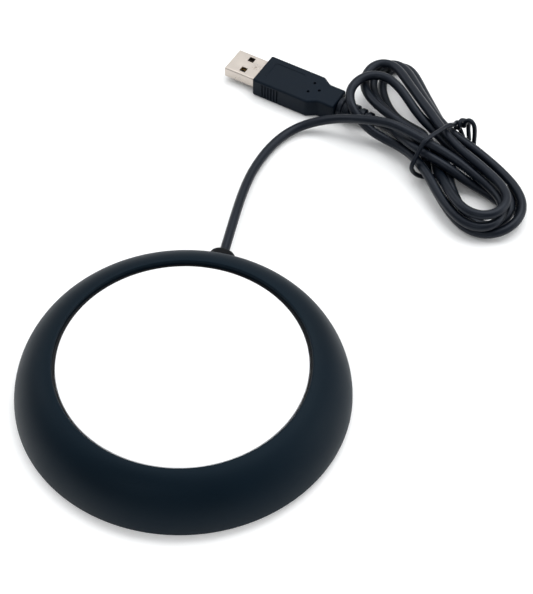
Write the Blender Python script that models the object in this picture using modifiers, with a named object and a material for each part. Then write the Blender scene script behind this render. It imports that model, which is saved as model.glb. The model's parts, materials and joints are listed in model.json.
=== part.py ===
"""USB cup warmer: a round base with a flat hot plate, a tied cord and a USB-A plug.

Metres, +Z up. The origin is the centre of the base on the surface it rests on, and +Y is
the side where the cord leaves. Every separate physical piece is one object.
"""
import math

import bpy
import bmesh
import numpy as np
from mathutils import Matrix, Vector

MM = 0.001
GAP = 0.3                      # running gap between neighbouring solids, mm

# Base, mm
BASE_R, BASE_R_Z = 56.95, 3.7  # widest radius and its height
SKIRT_R, SKIRT_Z = 55.9, 2.4   # where the section turns in below the widest radius
FOOT_EDGE_R, FOOT_EDGE_IN_R = 54.0, 52.9    # outer and inner radius of the lower edge
DOME_TOP, LIP_R = 21.5, 43.15  # height of the dome and radius of its opening
DOME_POWER = 1.86              # superellipse exponent of the dome's section
WALL = 2.1
LIP_THICK, RIB_DROP = 2.0, 5.0 # the lip's thickness and the inner rib's depth below it
SKIRT_BOTTOM = 0.5
BOSS_CIRCLE, BOSS_R, PILOT_R = 47.8, 2.6, 1.2
BASE_BOSS_LOW = 3.0
BASE_SCREW_ANGLES = (45, 135, 225, 315)
PLATE_SCREW_ANGLES = (30, 150, 270)
FOOT_ANGLES = (0, 90, 180, 270)
FOOT_CIRCLE, FOOT_R, FOOT_HEIGHT = 44.0, 5.0, 1.3
PAD_R = 14.0                   # anti-slip pad in the middle of the underside
COVER_R, COVER_THICK = 52.5, 2.0
COVER_LOW = SKIRT_BOTTOM + 0.2

# Hot plate and its stack, mm
PLATE_R, PLATE_TOP = 42.2, 19.9
PLATE_UNDERSIDE = 18.4
FLANGE_R, FLANGE_TOP, FLANGE_THICK = 45.2, 17.5, 1.0
GASKET_INNER_R = 42.5
FILM_R, STACK_R = 38.0, 38.5
FILM_TOP, TRACK_Z, MICA_TOP, PAD_TOP, CLAMP_TOP = 18.1, 17.35, 16.9, 16.2, 12.6
FILM_THICK, MICA_THICK, PAD_THICK, CLAMP_THICK = 0.3, 0.4, 3.3, 0.8
EAR_LENGTH, EAR_WIDTH = 13.0, 6.4

# Board and cord clamp on the cover, mm
PIN_X, BOARD_Y, BOARD_Z, BOARD_THICK = 10.4, 26.0, 6.1, 1.6
CLAMP_X, CLAMP_Y, CLAMP_BAR_Z, CLAMP_BAR_THICK = 5.4, 44.0, 8.95, 1.6

# Cord, mm
CORD_R = 1.75
CORD_EXIT = (-0.9, 61.3, 6.0)  # the cord's flex point in the grommet's mouth
SEAT_R, SEAT_START = 5.3, 56.0 # the ring's seat for the grommet's head
HOLE_R, HOLE_START = 3.6, 50.0
WIRE_R, LEAD_R = 0.6, 0.35
CORD_STEP = 1.6                # spacing used while the strands are cleared
CORD_RING_EVERY = 3            # one tube ring per this many points
STRAND_PITCH = 4.0             # least distance between two strands' centres

# Tied hank, mm: its own frame has u along the hank and v towards the back
HANK_CENTRE, HANK_YAW = (65.5, 132.0), -39.0
TIE_R, TIE_SLIDE = 0.85, 2.0
TWIST_R, TWIST_PITCH, TWIST_TURNS = 1.15, 4.2, 0.75

# Plug, mm
PLUG_YAW = 162.5
PLUG_LENGTH = 50.5             # boot's small end to the overmould's front face
PLUG_FRONT = (-8.28, 155.05)
PLUG_HEIGHT, PLUG_WIDTH, NECK_WIDTH = 8.2, 15.4, 10.6
BODY_LENGTH, SHOULDER_END, NECK_END = 23.7, 27.2, 34.1   # measured back from the front face
SHELL_W, SHELL_H, SHELL_WALL, SHELL_OUT, SHELL_IN = 12.0, 4.5, 0.35, 13.3, 6.5
WINDOW_SIZE, WINDOW_FORWARD, WINDOW_SIDE = 2.5, 6.5, 3.1
PLUG_SWING = (-22, 7)

# The cord's course from the grommet, in the object's own frame
LEAD_POINTS = [
    CORD_EXIT, (-0.95, 66, 6), (-1.2, 76, 5.4), (-1.5, 89, 4.2), (-1, 103, 3), (1, 114, 2.4),
    (4, 123, 2.2), (8.2, 130.4, 2.3), (12.9, 135, 3), (18.5, 136.8, 4.8), (24.5, 135.9, 7.4),
    (30.8, 133.9, 10.4), (38.5, 131.6, 13),
]

# The nine half turns of the tied hank, as (u, v, z) in the hank's frame
HANK_TURNS = [
    # over the waist, then the first right-hand end
    [(-15, -13.4, 13.8), (-8, -11, 13), (0, -8, 11.6), (6, -6.2, 10.4), (12, -4.6, 9), (20, -2, 7),
     (28, -0.8, 6.2), (36, -1.4, 6.4), (41.6, -5, 6.6), (43.8, -11, 6.2), (41.2, -17, 6),
     (34.4, -19.6, 5.9), (25, -18, 5.8), (15, -14.4, 5), (6, -11.2, 4)],
    # left-hand end that climbs over the plug's boot
    [(-1, -10.3, 3.8), (-9, -10.8, 3.4), (-16, -12.4, 3), (-22, -15, 4), (-26.5, -16.6, 7),
     (-31, -17, 10), (-35.6, -15.4, 11), (-39.2, -12, 11.2), (-40.8, -7.2, 11.6),
     (-39.6, -1.6, 12.4), (-35.5, 2.6, 12.8), (-28.5, 3.2, 12.4), (-20, 2.1, 11),
     (-11, 0.6, 8.8), (-2, 0.4, 7.4)],
    # second right-hand end, low and inside
    [(7, 1, 6.6), (16, 1.8, 6.2), (26, 2.8, 5.6), (35, 2.4, 5.8), (40.6, -1, 5.6), (41.4, -6.5, 4),
     (39.4, -12, 2.4), (33.4, -15, 2), (24, -13.6, 2), (15, -11, 2.4), (6, -8, 4.4)],
    # second left-hand end
    [(-4, -7.6, 7), (-14, -7.4, 7.6), (-24, -8.4, 9.2), (-34, -7.5, 9.2), (-41.8, -3.4, 9.4),
     (-45.6, 4.4, 9.8), (-44, 9.6, 10), (-39, 10.8, 10.2), (-28, 7.7, 10.6), (-17, 4.2, 11),
     (-7, 1.6, 11.2)],
    # third right-hand end, on top
    [(3, -0.2, 11.2), (12, -0.8, 10.6), (20, 0, 9.8), (28, 0.4, 9.6), (35, -0.6, 9.8),
     (40.6, -4.2, 9.9), (42, -10.7, 9.9), (39.6, -16, 9.8), (33.4, -18.8, 9.8), (24.3, -17.6, 9.2),
     (15, -13.8, 7.4), (8, -9.4, 4.6), (2, -5.4, 3.7)],
    # third left-hand end
    [(-6, -4.6, 3.6), (-14, -5, 4.2), (-22, -5.9, 5.6), (-33, -4.2, 6), (-42, 1.8, 6),
     (-46, 10.2, 6), (-44.2, 15, 6.2), (-39, 15.8, 6.6), (-27, 11.6, 7.6), (-16, 8, 8.2),
     (-7, 5.2, 8.8)],
    # fourth right-hand end, outermost
    [(1, 4.2, 9), (7, 5.4, 8), (13, 6.8, 6), (20, 8, 4.8), (28.5, 7.4, 4.6), (37, 4.8, 4.6),
     (43.6, -0.6, 4.8), (45.4, -8, 4), (42.4, -15, 2.8), (34.5, -18.8, 2), (24.5, -17.6, 2),
     (15.6, -15.2, 2.2), (8, -12, 3.4), (0, -6.6, 3.7)],
    # fourth left-hand end, flat on the surface
    [(-7, -2.4, 3), (-14, -2.6, 2.2), (-23, -2.8, 2), (-34, 1.2, 2), (-42, 6.8, 2), (-45.6, 16, 2),
     (-44, 20.2, 2), (-39, 20, 2.2), (-27, 15.4, 2.8), (-16, 11.2, 3.6), (-6, 7.4, 4.6)],
    # last right-hand end, small and low, then back over the waist to the boot
    [(3, 5.4, 5), (11, 5.4, 4), (20, 5.3, 2.6), (29, 5.8, 2), (36.4, 7.2, 2), (41.4, 5.6, 2),
     (42.2, 1.8, 2), (38.4, 0.2, 2), (31.5, 0.6, 2), (23.5, -1.4, 3), (16.5, -4.6, 5.6),
     (9.5, -8.2, 8.8), (2, -11, 10.2), (-6, -11.6, 9.6), (-13, -10, 7), (-19, -8.6, 4.6)],
]


# ---------------------------------------------------------------- scene helpers

def empty_scene():
    for old in list(bpy.data.objects):
        bpy.data.objects.remove(old)
    for name in ("usb_cup_warmer", "cutters"):
        collection = bpy.data.collections.new(name)
        bpy.context.scene.collection.children.link(collection)


def material(name, colour, roughness, metallic=0.0):
    made = bpy.data.materials.new(name)
    made.use_nodes = True
    shader = made.node_tree.nodes["Principled BSDF"]
    shader.inputs["Base Color"].default_value = (*colour, 1)
    shader.inputs["Roughness"].default_value = roughness
    shader.inputs["Metallic"].default_value = metallic
    made.diffuse_color = (*colour, 1)
    return made


def place(name, data, look, location=(0, 0, 0), parent=None, collection="usb_cup_warmer"):
    """Link an object made of mesh or curve data; location is in mm, in its parent's frame."""
    piece = bpy.data.objects.new(name, data)
    piece.location = Vector(location) * MM
    piece.parent = parent
    if look and not data.materials:
        data.materials.append(look)
    bpy.data.collections[collection].objects.link(piece)
    return piece


def smooth(piece):
    """Shade a round piece smooth, keeping edges sharper than 35 degrees crisp."""
    piece.data.shade_smooth()
    piece.data.set_sharp_from_angle(angle=math.radians(35))
    return piece


def mesh_from(bm, name):
    mesh = bpy.data.meshes.new(name)
    bm.to_mesh(mesh)
    bm.free()
    return mesh


def turned_mesh(name, profile, steps=48, closed=False):
    """A solid of revolution about Z from (r, z) points in mm, outer side top to bottom."""
    bm = bmesh.new()
    verts = [bm.verts.new((r * MM, 0, z * MM)) for r, z in profile]
    pairs = list(zip(verts, verts[1:]))
    if closed:
        pairs.append((verts[-1], verts[0]))
    for pair in pairs:
        bm.edges.new(pair)
    helper = place(name + "_profile", mesh_from(bm, name), None, collection="cutters")
    screw = helper.modifiers.new("turn", "SCREW")
    screw.steps = screw.render_steps = steps
    screw.use_merge_vertices = True
    screw.merge_threshold = 0.00001
    screw.use_normal_calculate = False
    return baked(helper, name)


def baked(piece, name):
    """The evaluated mesh of a helper object, which is removed."""
    bpy.context.view_layer.update()
    evaluated = piece.evaluated_get(bpy.context.evaluated_depsgraph_get())
    mesh = bpy.data.meshes.new_from_object(evaluated)
    mesh.name = name
    bpy.data.objects.remove(piece)
    return mesh


def box_mesh(name, size, bevel=0.0):
    bm = bmesh.new()
    bmesh.ops.create_cube(bm, size=1)
    bmesh.ops.scale(bm, vec=Vector(size) * MM, verts=bm.verts)
    if bevel:
        bmesh.ops.bevel(bm, geom=bm.edges[:], offset=bevel * MM, segments=1, affect="EDGES")
    return mesh_from(bm, name)


def rod_mesh(name, radius, height, sides=20):
    bm = bmesh.new()
    bmesh.ops.create_cone(bm, cap_ends=True, segments=sides, radius1=radius * MM,
                          radius2=radius * MM, depth=height * MM)
    return mesh_from(bm, name)


def rotate_mesh(mesh, degrees, axis):
    mesh.transform(Matrix.Rotation(math.radians(degrees), 4, axis))
    return mesh


def combine(piece, meshes, operation):
    """Add Boolean modifiers; each entry is (mesh, location in mm, yaw in degrees)."""
    for number, (mesh, location, yaw) in enumerate(meshes):
        tool = place(f"{piece.name}_{operation.lower()}_{number}", mesh, None, location,
                     piece.parent, "cutters")
        tool.rotation_euler.z = math.radians(yaw)
        tool.hide_render = True
        tool.display_type = "WIRE"
        cut = piece.modifiers.new(f"{operation}_{number}", "BOOLEAN")
        cut.operation = operation
        cut.solver = "EXACT"
        cut.object = tool
    return piece


def tube(name, points, radius, look, parent=None, radii=None, sides_resolution=2):
    """A round wire through points in mm, as a straight-sided bevelled curve with caps."""
    curve = bpy.data.curves.new(name, "CURVE")
    curve.dimensions = "3D"
    curve.bevel_depth = radius * MM
    curve.bevel_resolution = sides_resolution
    curve.use_fill_caps = True
    curve.resolution_u = 1
    curve.render_resolution_u = 0
    spline = curve.splines.new("POLY")
    spline.points.add(len(points) - 1)
    for index, (target, point) in enumerate(zip(spline.points, points)):
        target.co = (*(Vector(point) * MM), 1)
        target.radius = radii[index] if radii else 1
    return place(name, curve, look, parent=parent)


def rounded(points, step):
    """A smooth path through the given points, resampled at an even step (all in mm)."""
    knots = np.asarray(points, float)
    ends = np.vstack([2 * knots[0] - knots[1], knots, 2 * knots[-1] - knots[-2]])
    pieces = []
    for a, b, c, d in zip(ends, ends[1:], ends[2:], ends[3:]):
        ta, tb, tc = (math.sqrt(np.linalg.norm(q - p)) for p, q in ((a, b), (b, c), (c, d)))
        leave = (c - b) + tb * ((b - a) / ta - (c - a) / (ta + tb))
        arrive = (c - b) + tb * ((d - c) / tc - (d - b) / (tb + tc))
        t = np.linspace(0, 1, 24, endpoint=False)[:, None]
        pieces.append((2 * t**3 - 3 * t**2 + 1) * b + (t**3 - 2 * t**2 + t) * leave
                      + (3 * t**2 - 2 * t**3) * c + (t**3 - t**2) * arrive)
    dense = np.vstack(pieces + [knots[-1:]])
    run = np.r_[0, np.cumsum(np.linalg.norm(np.diff(dense, axis=0), axis=1))]
    wanted = np.linspace(0, run[-1], int(round(run[-1] / step)) + 1)
    return np.stack([np.interp(wanted, run, dense[:, k]) for k in range(3)], 1)


def on_circle(radius, degrees, z=0.0):
    angle = math.radians(degrees)
    return radius * math.cos(angle), radius * math.sin(angle), z


# ---------------------------------------------------------------- base

def dome_arc(inner_r, outer_r, low_z, top_z, points=9):
    """Quarter superellipse from the top at inner_r to the widest point at outer_r."""
    arc = []
    for k in range(points):
        t = 0.5 * math.pi * k / (points - 1)
        arc.append((inner_r + (outer_r - inner_r) * math.sin(t) ** (2 / DOME_POWER),
                    low_z + (top_z - low_z) * max(math.cos(t), 0) ** (2 / DOME_POWER)))
    return arc


def top_shell(look):
    outside = dome_arc(LIP_R + 0.5, BASE_R, BASE_R_Z, DOME_TOP)
    inside = dome_arc(LIP_R + 4, BASE_R - WALL, BASE_R_Z, DOME_TOP - WALL, 6)[::-1]
    rib_inner, lip_under = FLANGE_R + 0.4, DOME_TOP - LIP_THICK
    rib_low = lip_under - RIB_DROP
    profile = ([(LIP_R, DOME_TOP - 0.6)] + outside
               + [(SKIRT_R, SKIRT_Z), (FOOT_EDGE_R, SKIRT_BOTTOM), (FOOT_EDGE_IN_R, SKIRT_BOTTOM)]
               + inside + [(LIP_R + 4, rib_low), (rib_inner, rib_low), (rib_inner, lip_under),
                           (LIP_R, lip_under)])
    shell = place("top_shell", turned_mesh("top_shell", profile, closed=True), look)
    bosses, holes = [], []
    boss_top = FLANGE_TOP - 1.3
    for angles, low in ((BASE_SCREW_ANGLES, BASE_BOSS_LOW), (PLATE_SCREW_ANGLES, CLAMP_TOP + GAP)):
        height, depth = boss_top - low, min(11.0, boss_top - low - 0.6)
        for angle in angles:
            bosses.append((rod_mesh("boss", BOSS_R, height, 16),
                           on_circle(BOSS_CIRCLE, angle, low + height / 2), 0))
            holes.append((rod_mesh("pilot", PILOT_R, depth + 2, 12),
                          on_circle(BOSS_CIRCLE, angle, low + depth / 2 - 1), 0))
    x_exit, y_exit, z_exit = CORD_EXIT
    for radius, start in ((HOLE_R, HOLE_START), (SEAT_R, SEAT_START)):
        length = y_exit - start
        holes.append((rotate_mesh(rod_mesh("cord_hole", radius, length, 24), 90, "X"),
                      (x_exit, start + length / 2, z_exit), 0))
    combine(shell, bosses, "UNION")
    combine(shell, holes, "DIFFERENCE")
    return shell


def heating_plate(look):
    profile = [(0, PLATE_TOP), (PLATE_R - 0.5, PLATE_TOP), (PLATE_R, PLATE_TOP - 0.5),
               (PLATE_R, FLANGE_TOP), (FLANGE_R, FLANGE_TOP), (FLANGE_R, FLANGE_TOP - FLANGE_THICK),
               (41.0, FLANGE_TOP - FLANGE_THICK), (40.7, PLATE_UNDERSIDE), (0, PLATE_UNDERSIDE)]
    return smooth(place("heating_plate", turned_mesh("heating_plate", profile), look))


def plate_gasket(look):
    low, high = FLANGE_TOP + GAP, DOME_TOP - LIP_THICK - GAP
    profile = [(GASKET_INNER_R, high), (FLANGE_R, high), (FLANGE_R, low), (GASKET_INNER_R, low)]
    mesh = turned_mesh("plate_gasket", profile, 40, closed=True)
    return smooth(place("plate_gasket", mesh, look))


def disc(name, radius, top, thickness, look, bevel=0.0):
    profile = [(0, top), (radius - bevel, top), (radius, top - bevel),
               (radius, top - thickness + bevel), (radius - bevel, top - thickness),
               (0, top - thickness)]
    if not bevel:
        profile = [(0, top), (radius, top), (radius, top - thickness), (0, top - thickness)]
    return place(name, turned_mesh(name, profile), look)


def heater_track(look):
    """Foil track: back-and-forth arcs between the two lead pads, under the film."""
    rows, first_r, pitch = 5, 34.0, 6.0
    opening = 12               # degrees left free on each side of +Y for the leads
    points = []
    for row in range(rows):
        start, end = 90 + opening, 450 - opening
        turns = 22 - 3 * row
        sweep = [start + (end - start) * k / turns for k in range(turns + 1)]
        if row % 2:
            sweep.reverse()
        points += [on_circle(first_r - row * pitch, degrees, TRACK_Z) for degrees in sweep]
    return tube("heater_track", points, 0.3, look, sides_resolution=0)


def pressure_plate(look):
    plate = disc("pressure_plate", STACK_R, CLAMP_TOP, CLAMP_THICK, look)
    ears, holes = [], []
    for angle in PLATE_SCREW_ANGLES:
        ears.append((box_mesh("ear", (EAR_LENGTH, EAR_WIDTH, CLAMP_THICK)),
                     on_circle(BOSS_CIRCLE + 3.2 - EAR_LENGTH / 2, angle,
                               CLAMP_TOP - CLAMP_THICK / 2), angle))
        holes.append((rod_mesh("hole", 1.3, 3, 12), on_circle(BOSS_CIRCLE, angle, CLAMP_TOP), 0))
    combine(plate, ears, "UNION")
    return combine(plate, holes, "DIFFERENCE")


def screw(name, look, location, head_r, head_h, shank_r, shank_length, points_down=False):
    """A slotted pan-head screw; location is the centre of its head's underside."""
    profile = [(0, shank_length), (shank_r * 0.5, shank_length), (shank_r, shank_length - 0.8),
               (shank_r, 0), (head_r, 0), (head_r, -head_h * 0.6), (head_r * 0.7, -head_h),
               (0, -head_h)]
    slot_z = location[2] - head_h
    if points_down:
        profile = [(r, -z) for r, z in reversed(profile)]
        slot_z = location[2] + head_h
    piece = place(name, turned_mesh(name, profile, 14), look, location)
    slot = box_mesh("slot", (head_r * 1.3, 0.5, 0.9))
    return combine(piece, [(slot, (location[0], location[1], slot_z), 20)], "DIFFERENCE")


def base_cover(look):
    low, high = COVER_LOW, COVER_LOW + COVER_THICK
    cover = disc("base_cover", COVER_R, high, COVER_THICK, look, bevel=0.3)
    added, removed = [], []
    for x in (-CLAMP_X, CLAMP_X):
        added.append((rod_mesh("clamp_post", 1.9, 5.2, 14), (x, CLAMP_Y, high + 2.5), 0))
        removed.append((rod_mesh("clamp_hole", 1.1, 5.2, 12), (x, CLAMP_Y, high + 3.4), 0))
    added.append((box_mesh("cradle", (5.0, 4.0, 1.4)), (0, CLAMP_Y, high + 0.55), 0))
    for x in (-PIN_X, PIN_X):
        added.append((rod_mesh("board_post", 2.0, 2.4, 14), (x, BOARD_Y, high + 1.1), 0))
        added.append((rod_mesh("board_pin", 0.8, 3.4, 12), (x, BOARD_Y, high + 3.4), 0))
    for angle in FOOT_ANGLES:
        removed.append((rod_mesh("foot_seat", FOOT_R + GAP, 1.8, 24),
                        on_circle(FOOT_CIRCLE, angle, low), 0))
    removed.append((rod_mesh("pad_seat", PAD_R + GAP, 1.8, 36), (0, 0, low), 0))
    for angle in BASE_SCREW_ANGLES:
        removed.append((rod_mesh("head_seat", 2.7, 2.6, 16),
                        on_circle(BOSS_CIRCLE, angle, low), 0))
        removed.append((rod_mesh("screw_hole", 1.3, 8, 12), on_circle(BOSS_CIRCLE, angle, low), 0))
    removed.append((box_mesh("grommet_notch", (11, 4.4, 6)), (CORD_EXIT[0], 53, low + 1), 0))
    combine(cover, added, "UNION")
    return combine(cover, removed, "DIFFERENCE")


def foot(name, look, radius, location, steps=20):
    profile = [(0, FOOT_HEIGHT), (radius, FOOT_HEIGHT), (radius, 0.3), (radius - 0.3, 0), (0, 0)]
    return smooth(place(name, turned_mesh(name, profile, steps), look, location))


def grommet(look):
    """Domed strain relief held in the wall; its bell mouth lets the cord swing."""
    profile = [(2.9, -0.6), (3.9, -0.8), (4.7, -1.5), (5.0, -2.4), (5.0, -4.9), (3.3, -4.9),
               (3.3, -8.2), (4.3, -8.2), (4.3, -9.5), (2.05, -9.5), (2.05, -2.0)]
    mesh = rotate_mesh(turned_mesh("grommet", profile, 20, closed=True), -90, "X")
    return smooth(place("grommet", mesh, look, CORD_EXIT))


def cord_tail(look):
    """The cord's end inside the base, from the grommet's bore to past the clamp."""
    x, y, z = CORD_EXIT
    course = [(x, y - 2.1, z), (x, y - 10.5, z), (0, CLAMP_Y + 2.5, z), (0, CLAMP_Y - 8, z)]
    return tube("cord_tail", course, CORD_R, look, sides_resolution=4)


def cord_clamp(look):
    centre = (0, CLAMP_Y, CLAMP_BAR_Z)
    bar = place("cord_clamp", box_mesh("cord_clamp", (15.4, 4.6, CLAMP_BAR_THICK), 0.3), look,
                centre)
    holes = [(rod_mesh("hole", 1.2, 4, 12), (x, CLAMP_Y, CLAMP_BAR_Z), 0)
             for x in (-CLAMP_X, CLAMP_X)]
    return combine(bar, holes, "DIFFERENCE")


def terminal_board(look):
    board = place("terminal_board", box_mesh("terminal_board", (24, 13, BOARD_THICK)), look,
                  (0, BOARD_Y, BOARD_Z))
    holes = [(rod_mesh("pin_hole", 1.1, 4, 12), (x, BOARD_Y, BOARD_Z), 0) for x in (-PIN_X, PIN_X)]
    return combine(board, holes, "DIFFERENCE")


def resettable_fuse(look):
    profile = [(0, 3.6), (2.6, 3.6), (3, 3.2), (3, 0.4), (2.6, 0), (0, 0)]
    mesh = turned_mesh("resettable_fuse", profile, 20)
    return smooth(place("resettable_fuse", mesh, look,
                        (0, BOARD_Y - 2, BOARD_Z + BOARD_THICK / 2 + GAP)))


def build_base(looks):
    top_shell(looks["soft_black"])
    heating_plate(looks["white_enamel"])
    plate_gasket(looks["black_silicone"])
    disc("heater_film", FILM_R, FILM_TOP, FILM_THICK, looks["amber_film"])
    heater_track(looks["foil"])
    disc("mica_disc", STACK_R, MICA_TOP, MICA_THICK, looks["mica"])
    disc("insulation_pad", FILM_R, PAD_TOP, PAD_THICK, looks["ceramic_felt"])
    pressure_plate(looks["zinc_steel"])
    for number, angle in enumerate(PLATE_SCREW_ANGLES, 1):
        screw(f"plate_screw_{number}", looks["zinc_steel"],
              on_circle(BOSS_CIRCLE, angle, CLAMP_TOP - CLAMP_THICK - GAP), 2.2, 1.3, 0.9, 3.9)
    base_cover(looks["hard_black"])
    for number, angle in enumerate(BASE_SCREW_ANGLES, 1):
        screw(f"base_screw_{number}", looks["zinc_steel"], on_circle(BOSS_CIRCLE, angle, 1.7),
              2.4, 0.9, 0.9, 9.0)
    for number, angle in enumerate(FOOT_ANGLES, 1):
        foot(f"foot_{number}", looks["black_silicone"], FOOT_R, on_circle(FOOT_CIRCLE, angle))
    foot("centre_pad", looks["black_silicone"], PAD_R, (0, 0, 0), 32)
    grommet(looks["black_pvc"])
    cord_tail(looks["black_pvc"])
    cord_clamp(looks["hard_black"])
    head_z = CLAMP_BAR_Z + CLAMP_BAR_THICK / 2 + GAP
    for number, x in enumerate((-CLAMP_X, CLAMP_X), 1):
        screw(f"clamp_screw_{number}", looks["zinc_steel"], (x, CLAMP_Y, head_z),
              1.8, 1.0, 0.75, 5.2, points_down=True)
    terminal_board(looks["board"])
    resettable_fuse(looks["fuse_yellow"])
    for name, side in (("red_wire", 1), ("black_wire", -1)):
        course = [(side * 0.8, 35.6, 6), (side * 1.5, 34, 6.5), (side * 2.8, 32.9, 7.9),
                  (side * 4, 31, 8.1), (side * 4.4, 28.6, 7.9)]
        tube(name, course, WIRE_R, looks["wire_red" if side > 0 else "wire_black"])
    for name, side in (("heater_lead_a", 1), ("heater_lead_b", -1)):
        course = [(side * 7.5, 28, 7.7), (side * 7.6, 32.5, 8), (side * 6.4, 37.5, 9.4),
                  (side * 5.4, 39.6, 11), (side * 5.2, 39.7, 15.5), (side * 5.4, 39.1, 17.1),
                  (side * 6.2, 36.6, TRACK_Z), (side * 6.9, 34.7, TRACK_Z)]
        tube(name, course, LEAD_R, looks["lead_clear"])


# ---------------------------------------------------------------- cord and tie

def hank_point(u, v, z):
    yaw = math.radians(HANK_YAW)
    return (HANK_CENTRE[0] + u * math.cos(yaw) - v * math.sin(yaw),
            HANK_CENTRE[1] + u * math.sin(yaw) + v * math.cos(yaw), z)


def hank_coordinates(points):
    yaw = math.radians(HANK_YAW)
    x, y = points[:, 0] - HANK_CENTRE[0], points[:, 1] - HANK_CENTRE[1]
    return x * math.cos(yaw) + y * math.sin(yaw), y * math.cos(yaw) - x * math.sin(yaw)


def plug_hinge():
    """Where the plug flexes on the cord: the boot's small end, in mm."""
    yaw = math.radians(PLUG_YAW)
    return np.array([PLUG_FRONT[0] - PLUG_LENGTH * math.cos(yaw),
                     PLUG_FRONT[1] - PLUG_LENGTH * math.sin(yaw), PLUG_HEIGHT / 2])


def plug_capsules():
    """Tapered capsules round the plug at rest and across its swing: start, end and two radii."""
    hinge, found = plug_hinge(), []
    for swing in (PLUG_SWING[0], PLUG_SWING[0] / 2, 0, PLUG_SWING[1]):
        yaw = math.radians(PLUG_YAW + swing)
        along = np.array([math.cos(yaw), math.sin(yaw), 0])
        across = np.array([-along[1], along[0], 0])
        runs = [(1, 16, 0, 2.9, 4.4), (16.6, 22, -1.4, 4.1, 4.1), (16.6, 22, 1.4, 4.1, 4.1)]
        runs += [(23.5, PLUG_LENGTH, side, 4.1, 4.1) for side in (-3.6, 0, 3.6)]
        for start, end, side, r_start, r_end in runs:
            offset = hinge + side * across
            found.append((offset + start * along, offset + end * along, r_start, r_end))
    return found


def clear_strands(course):
    """Move the course's points apart until no strand meets another, the plug or the surface."""
    rest, points, count = course, course.copy(), len(course)
    index = np.arange(count)
    free = ((index > 5) & (index < count - 6)).astype(float)[:, None]
    capsules = plug_capsules()
    rounds, apart = 260, 9.0 / CORD_STEP
    over_tie, low, above_tie = 11.0, CORD_R + 0.05, CORD_R + 2 * TIE_R + 0.5
    for turn in range(rounds):
        if turn % 15 == 0:
            spread = np.linalg.norm(points[:, None] - points[None], axis=-1)
            first, second = np.nonzero((spread < STRAND_PITCH + 3)
                                       & (index[None] - index[:, None] > apart))
        gap = points[first] - points[second]
        length = np.linalg.norm(gap, axis=1) + 1e-9
        close = length < STRAND_PITCH
        move = np.where(close, (STRAND_PITCH - length) / length / 2, 0)[:, None] * gap
        push, hits = np.zeros_like(points), np.zeros(count)
        for side, sign in ((first, 1), (second, -1)):
            np.add.at(push, side, sign * move)
            np.add.at(hits, side, close)
        points = points + 0.9 * push / np.sqrt(np.maximum(hits, 1))[:, None] * free
        for start, end, r_start, r_end in capsules:
            axis = end - start
            t = np.clip((points - start) @ axis / (axis @ axis), 0, 1)
            away = points - start - t[:, None] * axis
            length = np.linalg.norm(away, axis=1) + 1e-9
            wanted = r_start + (r_end - r_start) * t + CORD_R + GAP + 0.05
            inside = (length < wanted) & (free[:, 0] > 0) & (index < count - 8)
            points[inside] += away[inside] * ((wanted - length) / length)[inside, None]
        u, _ = hank_coordinates(points)
        floor = np.where((np.abs(u - 3) < over_tie) & (index * CORD_STEP > 90), above_tie, low)
        points[:, 2] = np.where(free[:, 0] > 0, np.maximum(points[:, 2], floor), points[:, 2])
        if turn < rounds - 60:
            shift = points - rest
            for _ in range(2):
                shift[1:-1] += 0.25 * (shift[2:] + shift[:-2] - 2 * shift[1:-1]) * free[1:-1]
            points = rest + 0.995 * shift
        elif turn < rounds - 15:
            bend = points[2:] + points[:-2] - 2 * points[1:-1]
            points[1:-1] += 0.06 * bend * free[1:-1]
    return points


def cord_course():
    hinge = plug_hinge()
    way = list(LEAD_POINTS)
    for turn in HANK_TURNS:
        way += [hank_point(*point) for point in turn]
    way.append(tuple(hinge))
    return clear_strands(rounded(way, CORD_STEP))


def power_cord(look, course):
    """The cord from the grommet's mouth to the boot's small end."""
    start, end = Vector(course[0]), Vector(course[-1])
    tail = (end - Vector(course[-4])).normalized()
    middle = [Vector(p) for p in course[CORD_RING_EVERY:-2:CORD_RING_EVERY]]
    points = [start - Vector((0, 1.7, 0)), start - Vector((0, 1.2, 0)), start]
    points += middle + [end - tail * 0.5]
    radii = [0.55, 0.85] + [1] * (len(middle) + 2)
    return tube("power_cord", points, CORD_R, look, radii=radii)


def twisted_pair(start, axis):
    """Two wires wound round each other along axis from start, in mm."""
    side = axis.cross(Vector((0, 0, 1))).normalized()
    lift = side.cross(axis)
    pair, steps = [], round(12 * TWIST_TURNS)
    for phase in (0.5 * math.pi, 1.5 * math.pi):
        wire = []
        for k in range(steps + 1):
            turn = TWIST_TURNS * k / steps
            angle = phase + 2 * math.pi * turn
            wire.append(start + axis * TWIST_PITCH * turn
                        + TWIST_R * (side * math.cos(angle) + lift * math.sin(angle)))
        pair.append(wire)
    return pair


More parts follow.
